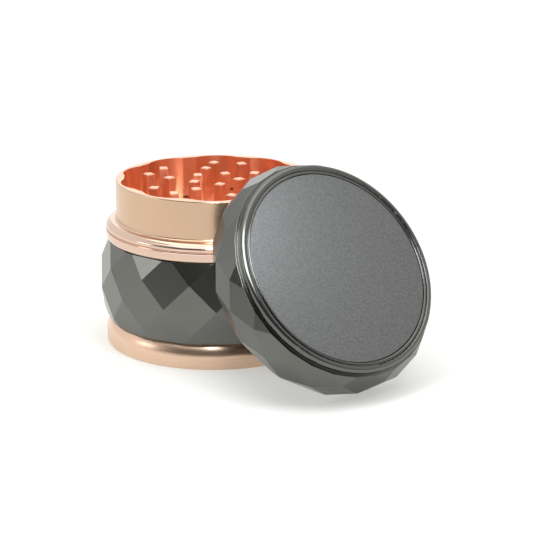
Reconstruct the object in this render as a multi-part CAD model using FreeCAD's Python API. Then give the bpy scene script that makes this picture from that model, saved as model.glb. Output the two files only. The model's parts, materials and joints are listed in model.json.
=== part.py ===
import FreeCAD, Part
import math
import os

# Four-part hand grinder with a faceted drum and a faceted lid, in millimetres.
# +Z is up, the origin is the centre of the base tray's flat underside, and the lid
# leans against the neck at the front right, with its top face turned outward.

# facets, shared by the drum and the lid
FACETS = 14                 # diamonds round each row
GIRTH_R = 31.4              # largest corner radius of the drum

# base tray
BASE_R = 29.7               # rim
BASE_BAND_TOP = 2.7         # straight band of the rim, below its rounded shoulder
BASE_SHOULDER = 1.5         # how far the shoulder draws in
BASE_H = 6.4                # underside to the shoulder that the drum stands on
BOSS_R = 25.7               # threaded boss inside the drum's lower socket
BOSS_TOP = 10.2
TRAY_R = 22.6               # collecting hollow
TRAY_FLOOR = 1.8

# storage drum
DRUM_BOTTOM = 6.8
DRUM_TOP = 28.4
SOCKET_R = 26.0             # lower and upper threaded sockets
LOWER_SOCKET_TOP = 10.6
LEDGE_TOP = 11.8            # shelf that the screen lies on
LEDGE_R = 21.6
STORE_R = 24.4              # storage space above the screen
UPPER_SOCKET_BOTTOM = 22.4
GIRTH_Z = 16.0              # height of the widest row of corners
ROW_STEP = 6.9              # height between rows of corners
SHOULDER_R = 30.85          # corner radius of the row above the widest one
DRUM_TURN = -102.9          # direction of one corner of the shoulder row, degrees from +X

# screen and its ring
SCREEN_R = 24.2
SCREEN_T = 0.3
SCREEN_PITCH = 2.4
SCREEN_HOLE = 1.5
RING_T = 1.6
RING_IN_R = 22.4
RING_SPLIT = 5.0

# grinding chamber: a wall ring with neck, collar and spigot, and the floor set in it
NECK_R = 26.65
NECK_TOP = 44.3
COLLAR_TOP = 33.9           # where the neck meets the bead
BEAD_R = 29.4
BEAD_BOTTOM = 31.3
LIP_R = 29.5                # plain band under the bead
LIP_TOP = 31.05
LIP_BOTTOM = 28.5
LIP_ROUND = 1.1             # rounding of the lip's lower edge
BORE_R = 24.4               # ridges of the chamber wall
FLUTE_COUNT = 10
FLUTE_R = 9.0
FLUTE_REACH = 25.75         # deepest line of a flute
FLUTE_TURN = 17.0           # direction of one flute, degrees from +X
CHAMBER_FLOOR = 35.5
FLOOR_T = 2.4
SPIGOT_R = 25.7             # threaded spigot inside the drum's upper socket
SPIGOT_BOTTOM = 22.9
SPIGOT_IN_R = 23.7
FALL_HOLES = ((22.3, 15, 1.6, 5.0), (15.45, 10, 1.3, 12.0))  # radius, count, hole radius, turn

# teeth: diamond pins standing in rows, which pass between each other
TOOTH_TOP = 44.1
TOOTH_CHAMFER = 0.25
CHAMBER_TOOTH = (3.3, 3.1)  # along the radius and around the row, corner to corner
LID_TOOTH = (2.1, 2.9)
CHAMBER_ROWS = {            # radius, directions within each fifth of a turn
    "outer": (18.7, (67.0, 91.0)),
    "middle": (12.3, (30.0,)),
    "inner": (6.4, (65.0,)),
}
LID_ROWS = {
    "outer": (15.45, (10.0, 46.0)),
    "inner": (9.35, (48.0,)),
}
ROW_REPEATS = 5

# magnets
MAGNET_R = 3.2
MAGNET_T = 1.6
MAGNET_GAP = 0.05

# lid, described upright with its top at height 0, then leaned
LID_T = 12.9
LID_ROW_DEPTHS = (0.1, 4.44, 7.87, 11.76, 15.65)
LID_FACET_TOP = 2.1         # the facets end here in a narrow step under the rim ring
LID_SHOULDER_R = 30.47
LID_GIRTH_R = 31.08
LID_CORNER_TURN = 5.3       # direction of one corner of the lid's top row, degrees
LID_RIM_R = 28.1
LID_RIM_BOTTOM = 3.7
LID_RIM_ROUND = 0.9
LID_CAVITY_R = 27.0
LID_CEILING = 3.2
PLATE_R = 25.55
PLATE_T = 0.8
PLATE_DEPTH = 0.4
PLATE_GAP = 0.05
RIDGE_R = 25.95
RIDGE_HALF = 0.2
RIDGE_DEPTH = 0.08
GROOVE_R = 26.5
GROOVE_DEPTH = 0.5
SEAL_IN_R = 26.85
SEAL_OUT_R = 27.9
SEAL_GAP = 0.08
SEAL_DEPTH = 6.0
SEAL_T = 1.6
LID_TOOTH_TIP = 11.3
LID_HUB_R = 4.2
LID_HUB_TIP = 11.2

# where the lid leans
LEAN_AZIMUTH = 37.1         # degrees from -Y towards +X
LEAN_RISE = 36.1            # how far its top face looks up, degrees
LEAN_REACH = 51.2           # drum axis to the middle of the lid's top, level distance
LEAN_HEIGHT = 31.25         # height of the middle of the lid's top

V = FreeCAD.Vector
UP = V(0, 0, 1)
HALF_PITCH = math.pi / FACETS


def cylinder(radius, low, high):
    return Part.makeCylinder(radius, high - low, V(0, 0, low))


def tube(outer, inner, low, high):
    return cylinder(outer, low, high).cut(cylinder(inner, low - 1, high + 1))


def turned(edges):
    """Solid of revolution about Z from edges that close an outline in the XZ plane."""
    face = Part.Face(Part.Wire(Part.__sortEdges__(edges)))
    return face.revolve(V(0, 0, 0), UP, 360)


def lines(points, closed=True):
    """Straight edges through (radius, height) points."""
    corners = [V(r, 0, z) for r, z in points]
    if closed:
        corners = corners + [corners[0]]
    return [Part.makeLine(a, b) for a, b in zip(corners, corners[1:])]


def arc(start, through, end):
    """Arc in the XZ plane through three (radius, height) points."""
    a, b, c = [V(r, 0, z) for r, z in (start, through, end)]
    return Part.Arc(a, b, c).toShape()


def corner_ring(radius, height, turn, half_step):
    """One row of facet corners; every second row is half a pitch round."""
    corners = []
    for k in range(FACETS):
        angle = turn + (2 * k + half_step) * HALF_PITCH
        corners.append(V(radius * math.cos(angle), radius * math.sin(angle), height))
    return corners


def flat_row_radius(before, at, after_height):
    """Radius of the next row that keeps the diamonds through three rows flat."""
    radius_0, height_0 = before
    radius_1, height_1 = at
    middle = radius_1 * math.cos(HALF_PITCH)
    slope = (middle - radius_0) / (height_1 - height_0)
    return radius_0 + slope * (after_height - height_0)


def polygon_face(corners):
    return Part.Face(Part.makePolygon(corners + [corners[0]]))


def faceted_body(rows, turn, first_half):
    """Closed body of flat diamonds over rows of (radius, height), from the top row down."""
    rings = []
    for i, (radius, height) in enumerate(rows):
        rings.append(corner_ring(radius, height, turn, (i + first_half) % 2))
    faces = [polygon_face(rings[0]), polygon_face(rings[-1])]
    last = len(rows) - 1
    for i in range(last + 1):
        half = (i + first_half) % 2
        for k in range(FACETS):
            # the neighbours of corner k and k + 1 in the rows above and below
            beside = (k + half) % FACETS
            here, following = rings[i][k], rings[i][(k + 1) % FACETS]
            if i == 0:
                faces.append(polygon_face([here, following, rings[1][beside]]))
            elif i == last:
                faces.append(polygon_face([here, following, rings[i - 1][beside]]))
            else:
                faces.append(polygon_face([rings[i - 1][beside], here, rings[i + 1][beside], following]))
    return Part.makeSolid(Part.makeShell(faces))


def drum_rows():
    """Corner rows of the drum from its top down; only two radii are free."""
    heights = [GIRTH_Z + (2 - i) * ROW_STEP for i in range(5)]
    shoulder = (SHOULDER_R, heights[1])
    girth = (GIRTH_R, heights[2])
    top = (flat_row_radius(girth, shoulder, heights[0]), heights[0])
    low = (flat_row_radius(shoulder, girth, heights[3]), heights[3])
    bottom = (flat_row_radius(girth, low, heights[4]), heights[4])
    return [top, shoulder, girth, low, bottom]


def lid_rows():
    """Corner rows of the lid from its top down, below its top face at height 0."""
    heights = [-depth for depth in LID_ROW_DEPTHS]
    shoulder = (LID_SHOULDER_R, heights[1])
    girth = (LID_GIRTH_R, heights[2])
    top = (flat_row_radius(girth, shoulder, heights[0]), heights[0])
    low = (flat_row_radius(shoulder, girth, heights[3]), heights[3])
    bottom = (flat_row_radius(girth, low, heights[4]), heights[4])
    return [top, shoulder, girth, low, bottom]


def leaned(shape):
    """Moves a lid piece from its upright place to where the lid leans."""
    azimuth = math.radians(LEAN_AZIMUTH)
    place = V(LEAN_REACH * math.sin(azimuth), -LEAN_REACH * math.cos(azimuth), LEAN_HEIGHT)
    tilt = FreeCAD.Rotation(V(1, 0, 0), 90 - LEAN_RISE)
    turn = FreeCAD.Rotation(UP, LEAN_AZIMUTH)
    moved = shape.copy()
    moved.Placement = FreeCAD.Placement(place, turn.multiply(tilt))
    return moved


def diamond(row_radius, size, height):
    """Diamond outline lying across the radius along +X."""
    half_r, half_t = size[0] / 2, size[1] / 2
    corners = [V(row_radius + half_r, 0, height), V(row_radius, half_t, height)]
    corners += [V(row_radius - half_r, 0, height), V(row_radius, -half_t, height)]
    return Part.makePolygon(corners + [corners[0]])


def diamond_pin(row_radius, size, root, tip, angle):
    """Pin of diamond section from its root to its tip, chamfered round the tip."""
    way = 1 if tip > root else -1
    neck = tip - way * TOOTH_CHAMFER
    small = [side - 2 * TOOTH_CHAMFER for side in size]
    outlines = [diamond(row_radius, size, root), diamond(row_radius, size, neck),
                diamond(row_radius, small, tip)]
    pin = Part.makeLoft(outlines, True, True)
    pin.rotate(V(0, 0, 0), UP, angle)
    return pin


def pin_row(row, size, root, tip):
    """One row of pins; its directions repeat every fifth of a turn."""
    row_radius, directions = row
    pins = []
    for k in range(ROW_REPEATS):
        for direction in directions:
            pins.append(diamond_pin(row_radius, size, root, tip, direction + k * 360.0 / ROW_REPEATS))
    return Part.makeCompound(pins)


def make_base_tray():
    """Rim and threaded boss in one, hollowed as a shallow dish."""
    edges = lines([(0, TRAY_FLOOR), (0, 0), (BASE_R - 0.5, 0)], closed=False)
    edges.append(arc((BASE_R - 0.5, 0), (BASE_R - 0.15, 0.15), (BASE_R, 0.5)))
    edges += lines([(BASE_R, 0.5), (BASE_R, BASE_BAND_TOP)], closed=False)
    edges.append(arc((BASE_R, BASE_BAND_TOP), (BASE_R - 0.35, BASE_BAND_TOP + 2.0),
                     (BASE_R - BASE_SHOULDER, BASE_H)))
    edges += lines([(BASE_R - BASE_SHOULDER, BASE_H), (BOSS_R, BASE_H), (BOSS_R, BOSS_TOP - 0.4),
                    (BOSS_R - 0.4, BOSS_TOP), (TRAY_R + 0.4, BOSS_TOP), (TRAY_R, BOSS_TOP - 0.4),
                    (TRAY_R, TRAY_FLOOR + 3)], closed=False)
    edges.append(arc((TRAY_R, TRAY_FLOOR + 3), (TRAY_R - 0.88, TRAY_FLOOR + 0.88), (TRAY_R - 3, TRAY_FLOOR)))
    edges += lines([(TRAY_R - 3, TRAY_FLOOR), (0, TRAY_FLOOR)], closed=False)
    return turned(edges)


def make_storage_drum():
    """Faceted barrel, open right through, with a shelf for the screen."""
    turn = math.radians(DRUM_TURN) + HALF_PITCH
    body = faceted_body(drum_rows(), turn, 0)
    body = body.common(cylinder(GIRTH_R + 5, DRUM_BOTTOM, DRUM_TOP))
    body = body.cut(cylinder(SOCKET_R, DRUM_BOTTOM - 1, LOWER_SOCKET_TOP))
    body = body.cut(cylinder(LEDGE_R, LOWER_SOCKET_TOP - 1, LEDGE_TOP + 1))
    body = body.cut(cylinder(STORE_R, LEDGE_TOP, DRUM_TOP))
    return body.cut(cylinder(SOCKET_R, UPPER_SOCKET_BOTTOM, DRUM_TOP + 1))


def make_pollen_screen():
    """Thin round sheet with a square grid of openings."""
    low = LEDGE_TOP
    sheet = cylinder(SCREEN_R, low, low + SCREEN_T)
    reach = int(LEDGE_R / SCREEN_PITCH)
    holes = []
    for i in range(-reach, reach + 1):
        for j in range(-reach, reach + 1):
            x, y = i * SCREEN_PITCH, j * SCREEN_PITCH
            if math.hypot(x, y) + SCREEN_HOLE > LEDGE_R:
                continue
            corner = V(x - SCREEN_HOLE / 2, y - SCREEN_HOLE / 2, low - 1)
            holes.append(Part.makeBox(SCREEN_HOLE, SCREEN_HOLE, SCREEN_T + 2, corner))
    return sheet.cut(Part.makeCompound(holes))


def make_screen_ring():
    """Split ring that holds the screen down."""
    low = LEDGE_TOP + SCREEN_T
    ring = tube(SCREEN_R, RING_IN_R, low, low + RING_T)
    gap = Part.makeBox(SCREEN_R, RING_SPLIT, RING_T + 2, V(0, -RING_SPLIT / 2, low - 1))
    return ring.cut(gap)


def collar_outline():
    """Lip, groove, bead and fillet, from the lip's lower edge up to the neck."""
    middle = LIP_ROUND * (1 - math.sqrt(0.5))
    edges = [arc((LIP_R - LIP_ROUND, LIP_BOTTOM), (LIP_R - middle, LIP_BOTTOM + middle),
                 (LIP_R, LIP_BOTTOM + LIP_ROUND))]
    edges += lines([(LIP_R, LIP_BOTTOM + LIP_ROUND), (LIP_R, LIP_TOP - 0.1), (LIP_R - 0.1, LIP_TOP),
                    (BEAD_R - 0.35, LIP_TOP), (BEAD_R - 0.35, BEAD_BOTTOM)], closed=False)
    shoulder = (NECK_R + 0.75, COLLAR_TOP - 0.2)
    edges.append(arc((BEAD_R - 0.35, BEAD_BOTTOM), (BEAD_R, BEAD_BOTTOM + 0.7),
                     (BEAD_R - 0.45, BEAD_BOTTOM + 1.55)))
    edges.append(arc((BEAD_R - 0.45, BEAD_BOTTOM + 1.55), (BEAD_R - 1.1, BEAD_BOTTOM + 2.15), shoulder))
    edges.append(arc(shoulder, (NECK_R + 0.25, COLLAR_TOP), (NECK_R, COLLAR_TOP + 0.35)))
    return edges


def chamber_outline():
    """Outline of the wall ring: up its outside from the spigot to the mouth, then down its bore."""
    edges = lines([(SPIGOT_IN_R, SPIGOT_BOTTOM), (SPIGOT_R - 0.4, SPIGOT_BOTTOM),
                   (SPIGOT_R, SPIGOT_BOTTOM + 0.4), (SPIGOT_R, LIP_BOTTOM),
                   (LIP_R - LIP_ROUND, LIP_BOTTOM)], closed=False)
    edges += collar_outline()
    edges.append(Part.makeLine(V(NECK_R, 0, COLLAR_TOP + 0.35), V(NECK_R, 0, NECK_TOP - 0.3)))
    edges.append(arc((NECK_R, NECK_TOP - 0.3), (NECK_R - 0.09, NECK_TOP - 0.09), (NECK_R - 0.3, NECK_TOP)))
    underside = CHAMBER_FLOOR - FLOOR_T
    edges += lines([(NECK_R - 0.3, NECK_TOP), (BORE_R, NECK_TOP), (BORE_R, underside),
                    (SPIGOT_IN_R, underside), (SPIGOT_IN_R, SPIGOT_BOTTOM)], closed=False)
    return edges


def ring_of_cylinders(row_radius, count, radius, turn, low, high):
    """Upright cylinders evenly round a circle."""
    made = []
    for k in range(count):
        angle = math.radians(turn + k * 360.0 / count)
        place = V(row_radius * math.cos(angle), row_radius * math.sin(angle), low)
        made.append(Part.makeCylinder(radius, high - low, place))
    return Part.makeCompound(made)


def make_grinding_chamber():
    """Spigot, collar and neck in one ring, with wide upright flutes in its wall."""
    flutes = ring_of_cylinders(FLUTE_REACH - FLUTE_R, FLUTE_COUNT, FLUTE_R, FLUTE_TURN,
                               CHAMBER_FLOOR, NECK_TOP + 1)
    return turned(chamber_outline()).cut(flutes)


def make_chamber_floor():
    """Round floor with the holes that the ground herb falls through, and the magnet's pocket."""
    floor = cylinder(BORE_R, CHAMBER_FLOOR - FLOOR_T, CHAMBER_FLOOR)
    for row_radius, count, radius, turn in FALL_HOLES:
        holes = ring_of_cylinders(row_radius, count, radius, turn,
                                  CHAMBER_FLOOR - FLOOR_T - 1, CHAMBER_FLOOR + 1)
        floor = floor.cut(holes)
    return floor.cut(cylinder(MAGNET_R + MAGNET_GAP, CHAMBER_FLOOR - MAGNET_T, CHAMBER_FLOOR + 1))


def rim_outline():
    """Outline of the lid's rim ring: rounded outside, then a groove and a fine ridge inside."""
    round_start = (LID_RIM_R, -LID_RIM_ROUND)
    round_middle = (LID_RIM_R - 0.29 * LID_RIM_ROUND, -0.29 * LID_RIM_ROUND)
    crown = (LID_RIM_R - LID_RIM_ROUND, 0)
    lip = (GROOVE_R + 0.45, 0)
    plate_hole = PLATE_R + PLATE_GAP
    bottom = -PLATE_DEPTH - PLATE_T
    edges = lines([(0, -LID_RIM_BOTTOM), (LID_RIM_R, -LID_RIM_BOTTOM), round_start], closed=False)
    edges.append(arc(round_start, round_middle, crown))
    edges.append(Part.makeLine(V(crown[0], 0, 0), V(lip[0], 0, 0)))
    edges.append(arc(lip, (GROOVE_R + 0.13, -0.13), (GROOVE_R, -GROOVE_DEPTH)))
    edges += lines([(GROOVE_R, -GROOVE_DEPTH), (RIDGE_R + RIDGE_HALF, -GROOVE_DEPTH),
                    (RIDGE_R + RIDGE_HALF, -2 * RIDGE_DEPTH), (RIDGE_R, -RIDGE_DEPTH),
                    (RIDGE_R - RIDGE_HALF, -2 * RIDGE_DEPTH), (plate_hole, -PLATE_DEPTH),
                    (plate_hole, bottom), (0, bottom), (0, -LID_RIM_BOTTOM)], closed=False)
    return edges


def make_lid_shell():
    """Faceted cap with its rim ring, the recess for its plate, the post and the seal's groove."""
    facets = faceted_body(lid_rows(), 0, 0)
    facets.rotate(V(0, 0, 0), UP, LID_CORNER_TURN)
    facets = facets.common(cylinder(GIRTH_R + 5, -LID_T, -LID_FACET_TOP))
    body = facets.fuse(turned(rim_outline()))
    cavity = cylinder(LID_CAVITY_R, -LID_T - 1, -LID_CEILING)
    groove = cylinder(SEAL_OUT_R + SEAL_GAP, -SEAL_DEPTH - SEAL_T - 0.1, -SEAL_DEPTH + 0.1)
    body = body.cut(cavity.fuse(groove))
    body = body.fuse(cylinder(LID_HUB_R, -LID_HUB_TIP, -LID_CEILING + 0.1))
    body = body.cut(cylinder(MAGNET_R + MAGNET_GAP, -LID_HUB_TIP - 1, -LID_HUB_TIP + MAGNET_T))
    return body.removeSplitter()


def make_lid_plate():
    """Thin round plate with a softened edge."""
    edges = lines([(0, -PLATE_DEPTH - PLATE_T), (PLATE_R, -PLATE_DEPTH - PLATE_T),
                   (PLATE_R, -PLATE_DEPTH - 0.2), (PLATE_R - 0.2, -PLATE_DEPTH), (0, -PLATE_DEPTH)])
    return turned(edges)


def build():
    lid_magnet_low = -LID_HUB_TIP
    nodes = {
        "base_tray": make_base_tray(),
        "storage_drum": make_storage_drum(),
        "pollen_screen": make_pollen_screen(),
        "screen_retaining_ring": make_screen_ring(),
        "grinding_chamber": make_grinding_chamber(),
        "chamber_floor": make_chamber_floor(),
        "chamber_magnet": cylinder(MAGNET_R, CHAMBER_FLOOR - MAGNET_T, CHAMBER_FLOOR),
        "lid_shell": leaned(make_lid_shell()),
        "lid_top_plate": leaned(make_lid_plate()),
        "lid_friction_ring": leaned(tube(SEAL_OUT_R, SEAL_IN_R, -SEAL_DEPTH - SEAL_T, -SEAL_DEPTH)),
        "lid_magnet": leaned(cylinder(MAGNET_R, lid_magnet_low, lid_magnet_low + MAGNET_T)),
    }
    for name, row in CHAMBER_ROWS.items():
        nodes["chamber_teeth_" + name] = pin_row(row, CHAMBER_TOOTH, CHAMBER_FLOOR, TOOTH_TOP)
    for name, row in LID_ROWS.items():
        nodes["lid_teeth_" + name] = leaned(pin_row(row, LID_TOOTH, -LID_CEILING, -LID_TOOTH_TIP))
    return nodes


os.makedirs("parts", exist_ok=True)
for node, shape in build().items():
    print(node, "valid", shape.isValid(), "volume", round(shape.Volume, 1), "solids", len(shape.Solids))
    shape.exportStep("parts/" + node + ".step")
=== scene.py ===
import json
import math

import bpy
from mathutils import Matrix, Vector

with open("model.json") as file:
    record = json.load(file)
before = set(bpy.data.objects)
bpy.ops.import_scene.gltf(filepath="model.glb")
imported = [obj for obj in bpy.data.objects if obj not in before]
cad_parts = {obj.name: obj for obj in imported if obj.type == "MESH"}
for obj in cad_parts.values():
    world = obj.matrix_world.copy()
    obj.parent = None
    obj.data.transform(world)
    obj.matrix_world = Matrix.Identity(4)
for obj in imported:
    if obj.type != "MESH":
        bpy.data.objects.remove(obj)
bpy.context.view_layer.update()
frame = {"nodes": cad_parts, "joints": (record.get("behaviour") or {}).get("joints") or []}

NODES = frame["nodes"]
LID_TURN = next(joint for joint in frame["joints"] if joint["name"] == "lid_turn")
LID_TOP = Vector(LID_TURN["pos_m"])      # centre of the lid's top
LID_AXIS = Vector(LID_TURN["axis"]).normalized()

# Lengths are in metres, angles in degrees and noise scales per metre, unless a name says
# otherwise. A pair of roughnesses goes with a noise's low and high values.

# The camera stands CAMERA_DISTANCE from a point on the drum's axis, CAMERA_AIM_Z up, and
# looks down at it by CAMERA_PITCH. Then it is turned and dipped a little off that point.
CAMERA_AIM_Z = 0.022
CAMERA_DISTANCE = 0.515
CAMERA_PITCH = 16.13
CAMERA_TURN = 1.59
CAMERA_DIP = 0.29
CAMERA_LENS_MM = 128.3
CAMERA_SENSOR_MM = 36.0
CAMERA_NEAREST = 0.01

FLOOR_SIZE = 8.0
FLOOR_FRONT = 0.9            # from the drum's axis to the floor's front edge
FLOOR_DROP = 0.0001          # keeps the floor from flickering through the tray's underside
FLOOR_COLOUR = (0.60, 0.60, 0.59)
FLOOR_ROUGHNESS = 0.7
FLOOR_GLOW = (1, 1, 0.95)
FLOOR_GLOW_STRENGTH = 0.42

LIGHT_AIM = Vector((0.015, -0.015, 0.025))      # the point that every light faces
SOFTBOX_DISTANCE = 0.9
LAMP_DISTANCE = 0.066
LAMP_TINT = (0.91, 0.96, 1.0)

# the light tent is white, save for an opening on the camera's side, darkest in its middle
OPENING_AZIMUTH = -2
OPENING_ELEVATION = 20
OPENING_CORE = 28            # from the opening's middle to where it stops being darkest
OPENING_EDGE = 92            # from the opening's middle to where the tent is white
OPENING_STRENGTH = 0.11
TENT_STRENGTH = 1.0

# gunmetal: anodising on the drum and the lid
GUNMETAL_DARK = (0.143, 0.143, 0.133)
GUNMETAL_LIGHT = (0.160, 0.160, 0.150)
GUNMETAL_ROUGHNESS = (0.18, 0.27)
GUNMETAL_GRAIN = 7000
GUNMETAL_GRAIN_DEPTH = 0.000004
GUNMETAL_CLOUD = 60
LID_PAINTED_SHADE = 0.92              # the lid is painted a little darker than the drum: painted shade for the darker reflections in the lid's facets
EDGE_ROUND = 0.0002          # radius that the facets' edges are shaded with

# pebbled plate in the lid's top
PEBBLE_DARK = (0.118, 0.119, 0.118)
PEBBLE_LIGHT = (0.166, 0.167, 0.166)
PEBBLE_ROUGHNESS = (0.46, 0.34)
PEBBLE_METALLIC = 0.35
PEBBLE_SCALE = 1900
PEBBLE_DEPTH = 0.00012

# rose gold, in its shades: on the chamber, the neck's darker shade is painted shade, and the inside's
# brighter, deeper orange is painted light, as if bounced inside
BASE_COLOUR = (0.80, 0.56, 0.41)
# painted shade: the neck's rose gold, darker than the collar's
NECK_PAINTED_SHADE = (0.65, 0.45, 0.31)
COLLAR_COLOUR = (0.73, 0.53, 0.43)
# painted light: the rose gold inside the chamber, brighter and deeper orange as if lit by light
# bounced inside
INSIDE_LIT_COLOUR = (0.98, 0.53, 0.35)
ROSE_CLOUD = 90
LATHE_RINGS = (60, 60, 7000)            # close together along the axis, long around it
BASE_ROUGHNESS = (0.24, 0.34)
BASE_RING_DEPTH = 0.0000015
COLLAR_ROUGHNESS = 0.14
NECK_ROUGHNESS = 0.24
BORE_ROUGHNESS = 0.30
CHAMBER_UNEVEN = (0.92, 1.1)            # how the rings multiply the roughness
CHAMBER_RING_DEPTH = 0.000001
NECK_FOOT = 0.0338                      # height where the polished collar meets the satin neck, and where the neck's painted shade starts
NECK_BLEND = 0.0002
BORE_EDGE = 0.02595                     # radius between the chamber's bore, in painted light, and its outside
BORE_BLEND = 0.0001

# small metal parts and the washer
NICKEL = (0.70, 0.68, 0.65)
STEEL_WIRE = (0.60, 0.59, 0.56)
SPRING_STEEL = (0.55, 0.55, 0.55)
NYLON_DARK = (0.68, 0.66, 0.60)
NYLON_LIGHT = (0.78, 0.76, 0.71)
NYLON_ROUGHNESS = (0.35, 0.5)
NYLON_HAZE = 300
NYLON_GLOW = 0.15
NYLON_GLOW_RADII = (0.002, 0.0018, 0.0015)      # red, green, blue; the shader scales them


# ---------------------------------------------------------------- node trees

class Shader:
    """The nodes of a new material or world, made and linked with short calls."""

    def __init__(self, block, end="Principled BSDF"):
        block.use_nodes = True
        self.block = block
        self.tree = block.node_tree
        self.end = self.tree.nodes[end]

    def node(self, kind, **values):
        made = self.tree.nodes.new(kind)
        for key, value in values.items():
            setattr(made, key, value)
        return made

    def feed(self, target, value):
        """Links the target input to a socket, or writes a number, vector or colour into it."""
        if isinstance(value, bpy.types.NodeSocket):
            self.tree.links.new(value, target)
        elif target.type == "RGBA":
            target.default_value = (*value, 1)
        else:
            target.default_value = value

    def set(self, **values):
        """Feeds inputs of the end node; an underscore stands for a space in a name."""
        for key, value in values.items():
            self.feed(self.end.inputs[key.replace("_", " ")], value)

    def coordinates(self, scale=(1, 1, 1), lid=False):
        """Object coordinates in metres; on the lid, with Z along the lid's own axis."""
        vector = self.node("ShaderNodeTexCoord").outputs["Object"]
        if lid:
            shift = self.node("ShaderNodeVectorMath", operation="SUBTRACT")
            self.feed(shift.inputs[0], vector)
            self.feed(shift.inputs[1], LID_TOP)
            turn = self.node("ShaderNodeMapping")
            self.feed(turn.inputs["Vector"], shift.outputs[0])
            upright = LID_AXIS.rotation_difference(Vector((0, 0, 1)))
            self.feed(turn.inputs["Rotation"], upright.to_euler())
            vector = turn.outputs[0]
        stretch = self.node("ShaderNodeMapping")
        self.feed(stretch.inputs["Vector"], vector)
        self.feed(stretch.inputs["Scale"], scale)
        return stretch.outputs[0]

    def noise(self, vector, scale, detail, roughness=0.5):
        made = self.node("ShaderNodeTexNoise")
        self.feed(made.inputs["Vector"], vector)
        self.feed(made.inputs["Scale"], scale)
        self.feed(made.inputs["Detail"], detail)
        self.feed(made.inputs["Roughness"], roughness)
        return made.outputs["Fac"]

    def ramp(self, value, ends, starts=(0.3, 0.7), shape="LINEAR"):
        """Goes from one end to the other as the value goes from one start to the other."""
        made = self.node("ShaderNodeMapRange", interpolation_type=shape)
        self.feed(made.inputs["Value"], value)
        self.feed(made.inputs["From Min"], starts[0])
        self.feed(made.inputs["From Max"], starts[1])
        self.feed(made.inputs["To Min"], ends[0])
        self.feed(made.inputs["To Max"], ends[1])
        return made.outputs["Result"]

    def step(self, value, edge, blend):
        """0 below the edge and 1 above it, blended over a short way to each side."""
        return self.ramp(value, (0, 1), (edge - blend, edge + blend))

    def mix(self, factor, first, second, kind="RGBA"):
        """The first where the factor is 0, and the second where it is 1."""
        made = self.node("ShaderNodeMix", data_type=kind)
        self.feed(made.inputs["Factor"], factor)
        self.feed(made.inputs["A"], first)
        self.feed(made.inputs["B"], second)
        return made.outputs["Result"]

    def drift(self, noise, first, second):
        """A colour that drifts from the first to the second as the noise rises."""
        return self.mix(self.ramp(noise, (0, 1)), first, second)

    def multiply(self, first, second):
        made = self.node("ShaderNodeMath", operation="MULTIPLY")
        self.feed(made.inputs[0], first)
        self.feed(made.inputs[1], second)
        return made.outputs[0]

    def bump(self, height, depth, strength):
        made = self.node("ShaderNodeBump")
        self.feed(made.inputs["Height"], height)
        self.feed(made.inputs["Distance"], depth)
        self.feed(made.inputs["Strength"], strength)
        return made


def new_metal(name, metallic=1.0):
    s = Shader(bpy.data.materials.new(name))
    s.set(Metallic=metallic)
    return s


def shaded(colour, tone):
    return tuple(tone * channel for channel in colour)


# ---------------------------------------------------------------- materials

def gunmetal(name, lid=False, tone=1.0):
    """Satin grey anodising: even, with a fine grain, faint clouding and softened edges."""
    s = new_metal(name)
    grain = s.noise(s.coordinates(lid=lid), GUNMETAL_GRAIN, detail=3)
    cloud = s.noise(s.coordinates(lid=lid), GUNMETAL_CLOUD, detail=2)
    edges = s.node("ShaderNodeBevel", samples=6)
    s.feed(edges.inputs["Radius"], EDGE_ROUND)
    surface = s.bump(grain, GUNMETAL_GRAIN_DEPTH, strength=0.6)
    s.feed(surface.inputs["Normal"], edges.outputs["Normal"])
    # a tone below 1 darkens both colours: painted shade, as on the lid
    s.set(Base_Color=s.drift(cloud, shaded(GUNMETAL_DARK, tone), shaded(GUNMETAL_LIGHT, tone)),
          Roughness=s.ramp(grain, GUNMETAL_ROUGHNESS),
          Normal=surface.outputs["Normal"])
    return s.block


def pebbled(name):
    """The lid's top plate: a fine pebble in satin grey, lighter and smoother on the crests."""
    s = new_metal(name, PEBBLE_METALLIC)
    pebble = s.noise(s.coordinates(lid=True), PEBBLE_SCALE, detail=1)
    s.set(Base_Color=s.drift(pebble, PEBBLE_DARK, PEBBLE_LIGHT),
          Roughness=s.ramp(pebble, PEBBLE_ROUGHNESS),
          Normal=s.bump(pebble, PEBBLE_DEPTH, strength=0.8).outputs["Normal"])
    return s.block


def lathe_rings(s):
    """Fine rings round the axis, as a lathe leaves them."""
    return s.noise(s.coordinates(scale=LATHE_RINGS), 1, detail=3, roughness=0.6)


def base_metal(name):
    """The base's turned metal: brighter and duller by turns along its lathe rings."""
    s = new_metal(name)
    rings = lathe_rings(s)
    cloud = s.noise(s.coordinates(), ROSE_CLOUD, detail=3)
    s.set(Base_Color=s.drift(cloud, shaded(BASE_COLOUR, tone=0.95), BASE_COLOUR),
          Roughness=s.ramp(rings, BASE_ROUGHNESS),
          Normal=s.bump(rings, BASE_RING_DEPTH, strength=0.5).outputs["Normal"])
    return s.block


def radius_and_height(s):
    """Distance from the object's own Z axis, and height along it."""
    split = s.node("ShaderNodeSeparateXYZ")
    s.feed(split.inputs[0], s.node("ShaderNodeTexCoord").outputs["Object"])
    flat = s.node("ShaderNodeCombineXYZ")
    s.feed(flat.inputs["X"], split.outputs["X"])
    s.feed(flat.inputs["Y"], split.outputs["Y"])
    away = s.node("ShaderNodeVectorMath", operation="LENGTH")
    s.feed(away.inputs[0], flat.outputs[0])
    return away.outputs["Value"], split.outputs["Z"]


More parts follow.
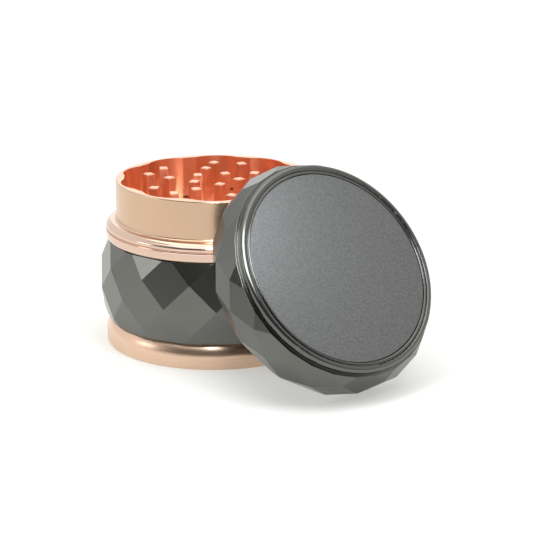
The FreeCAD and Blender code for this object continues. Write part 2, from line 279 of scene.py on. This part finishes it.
def chamber_metal(name):
    """The chamber's ring: satin neck in painted shade, polished collar, and a bore in painted light,
    a brighter and deeper orange.
    """
    s = new_metal(name)
    rings = lathe_rings(s)
    cloud = s.noise(s.coordinates(), ROSE_CLOUD, detail=3)
    radius, height = radius_and_height(s)
    neck = s.step(height, NECK_FOOT, NECK_BLEND)
    outside = s.step(radius, BORE_EDGE, BORE_BLEND)

    collar_colour = s.drift(cloud, COLLAR_COLOUR, shaded(COLLAR_COLOUR, tone=0.96))
    # the neck: painted shade
    neck_painted_shade = s.drift(cloud, NECK_PAINTED_SHADE, shaded(NECK_PAINTED_SHADE, tone=0.96))
    # the bore: painted light, brighter and deeper orange
    bore_lit_colour = s.drift(cloud, INSIDE_LIT_COLOUR, shaded(INSIDE_LIT_COLOUR, tone=0.94))
    outer_colour = s.mix(neck, collar_colour, neck_painted_shade)
    outer_roughness = s.ramp(neck, (COLLAR_ROUGHNESS, NECK_ROUGHNESS), (0, 1))
    roughness = s.mix(outside, BORE_ROUGHNESS, outer_roughness, kind="FLOAT")

    s.set(Base_Color=s.mix(outside, bore_lit_colour, outer_colour),
          Roughness=s.multiply(roughness, s.ramp(rings, CHAMBER_UNEVEN)),
          Normal=s.bump(rings, CHAMBER_RING_DEPTH, strength=0.4).outputs["Normal"])
    return s.block


def bright_metal(name, colour, roughness, haze_scale):
    """Plated, cast or spring metal with a light, uneven polish."""
    s = new_metal(name)
    haze = s.noise(s.coordinates(), haze_scale, detail=4)
    s.set(Base_Color=s.drift(haze, shaded(colour, tone=0.9), colour),
          Roughness=s.ramp(haze, roughness))
    return s.block


def nylon(name):
    """Natural nylon: milky, waxy, a little light passing in."""
    s = Shader(bpy.data.materials.new(name))
    haze = s.noise(s.coordinates(), NYLON_HAZE, detail=3)
    s.set(Base_Color=s.drift(haze, NYLON_DARK, NYLON_LIGHT),
          Roughness=s.ramp(haze, NYLON_ROUGHNESS),
          Subsurface_Weight=NYLON_GLOW, Subsurface_Radius=NYLON_GLOW_RADII)
    return s.block


def paint(material, *nodes):
    for node in nodes:
        mesh = NODES[node].data
        mesh.materials.clear()
        mesh.materials.append(material)


def paint_nodes():
    paint(base_metal("rose_gold_base"), "base_tray")
    paint(chamber_metal("rose_gold_chamber"), "grinding_chamber")
    # the chamber's floor and teeth: the inside's painted light, brighter and deeper orange than the
    # outside's rose gold
    paint(bright_metal("rose_gold_inside_lit", INSIDE_LIT_COLOUR, roughness=(0.28, 0.40), haze_scale=1200),
          "chamber_floor", "chamber_teeth_outer", "chamber_teeth_middle", "chamber_teeth_inner")
    paint(gunmetal("drum_gunmetal"), "storage_drum")
    # the lid: the drum's gunmetal, darkened as painted shade
    paint(gunmetal("lid_gunmetal", lid=True, tone=LID_PAINTED_SHADE),
          "lid_shell", "lid_teeth_outer", "lid_teeth_inner")
    paint(pebbled("pebbled_plate"), "lid_top_plate")
    paint(bright_metal("magnet_nickel", NICKEL, roughness=(0.12, 0.25), haze_scale=400),
          "lid_magnet", "chamber_magnet")
    paint(bright_metal("steel_mesh", STEEL_WIRE, roughness=(0.25, 0.4), haze_scale=2500),
          "pollen_screen")
    paint(bright_metal("spring_steel", SPRING_STEEL, roughness=(0.18, 0.32), haze_scale=900),
          "screen_retaining_ring")
    paint(nylon("nylon"), "lid_friction_ring")


# ---------------------------------------------------------------- stage

def make_floor():
    """Plain white table top that glows a little."""
    centre = (0, FLOOR_SIZE / 2 - FLOOR_FRONT, -FLOOR_DROP)
    bpy.ops.mesh.primitive_plane_add(size=FLOOR_SIZE, location=centre)
    floor = bpy.context.object
    floor.name = "floor"
    s = Shader(bpy.data.materials.new("floor_white"))
    s.set(Base_Color=FLOOR_COLOUR, Roughness=FLOOR_ROUGHNESS,
          Emission_Color=FLOOR_GLOW, Emission_Strength=FLOOR_GLOW_STRENGTH)
    floor.data.materials.append(s.block)


def direction(azimuth, elevation):
    """Unit vector; azimuth 0 is at the camera's side of the object, 90 on its right."""
    a = math.radians(azimuth)
    e = math.radians(elevation)
    return Vector((math.sin(a) * math.cos(e), -math.cos(a) * math.cos(e), math.sin(e)))


def area_light(name, azimuth, elevation, size, radiance, tint=(1, 1, 1), distance=SOFTBOX_DISTANCE):
    """Square light aimed at the object, of the given radiance where white paper reads 1."""
    way = direction(azimuth, elevation)
    light = bpy.data.lights.new(name, "AREA")
    light.shape = "SQUARE"
    light.size = size
    light.energy = radiance * math.pi * size * size
    light.color = tint
    lamp = bpy.data.objects.new(name, light)
    lamp.visible_camera = False
    lamp.location = way * distance + LIGHT_AIM
    lamp.rotation_mode = "QUATERNION"
    lamp.rotation_quaternion = way.to_track_quat("Z", "Y")
    bpy.context.scene.collection.objects.link(lamp)


def make_lights():
    area_light("softbox_left", azimuth=-80, elevation=17, size=0.26, radiance=2.0)
    area_light("softbox_top", azimuth=0, elevation=86, size=1.2, radiance=1.35)
    area_light("lamp_near_lid", azimuth=-8, elevation=38.5, size=0.034, radiance=8.6,
               tint=LAMP_TINT, distance=LAMP_DISTANCE)
    area_light("softbox_back", azimuth=180, elevation=24, size=0.6, radiance=0.38)


def make_tent():
    """A white light tent with a dark opening on the side where the camera stands."""
    s = Shader(bpy.data.worlds.new("tent"), "Background")
    towards = s.node("ShaderNodeVectorMath", operation="DOT_PRODUCT")
    s.feed(towards.inputs[0], s.node("ShaderNodeTexCoord").outputs["Generated"])
    s.feed(towards.inputs[1], direction(OPENING_AZIMUTH, OPENING_ELEVATION))
    edge = math.cos(math.radians(OPENING_EDGE))
    core = math.cos(math.radians(OPENING_CORE))
    s.set(Color=(1, 1, 1),
          Strength=s.ramp(towards.outputs["Value"], (TENT_STRENGTH, OPENING_STRENGTH),
                          (edge, core), shape="SMOOTHSTEP"))
    bpy.context.scene.world = s.block


def make_camera():
    data = bpy.data.cameras.new("camera")
    data.lens = CAMERA_LENS_MM
    data.sensor_width = CAMERA_SENSOR_MM
    data.clip_start = CAMERA_NEAREST
    pitch = math.radians(CAMERA_PITCH)
    turn = math.radians(CAMERA_TURN)
    dip = pitch + math.radians(CAMERA_DIP)
    back = Vector((0, -math.cos(pitch), math.sin(pitch)))
    forward = Vector((math.sin(turn) * math.cos(dip), math.cos(turn) * math.cos(dip), -math.sin(dip)))
    right = Vector((math.cos(turn), -math.sin(turn), 0))
    up = right.cross(forward)
    place = Matrix((right, up, -forward)).transposed().to_4x4()
    place.translation = Vector((0, 0, CAMERA_AIM_Z)) + back * CAMERA_DISTANCE
    camera = bpy.data.objects.new("camera", data)
    camera.matrix_world = place
    bpy.context.scene.collection.objects.link(camera)
    bpy.context.scene.camera = camera


make_camera()
make_floor()
make_tent()
make_lights()
paint_nodes()
bpy.context.scene.view_settings.view_transform = "Standard"
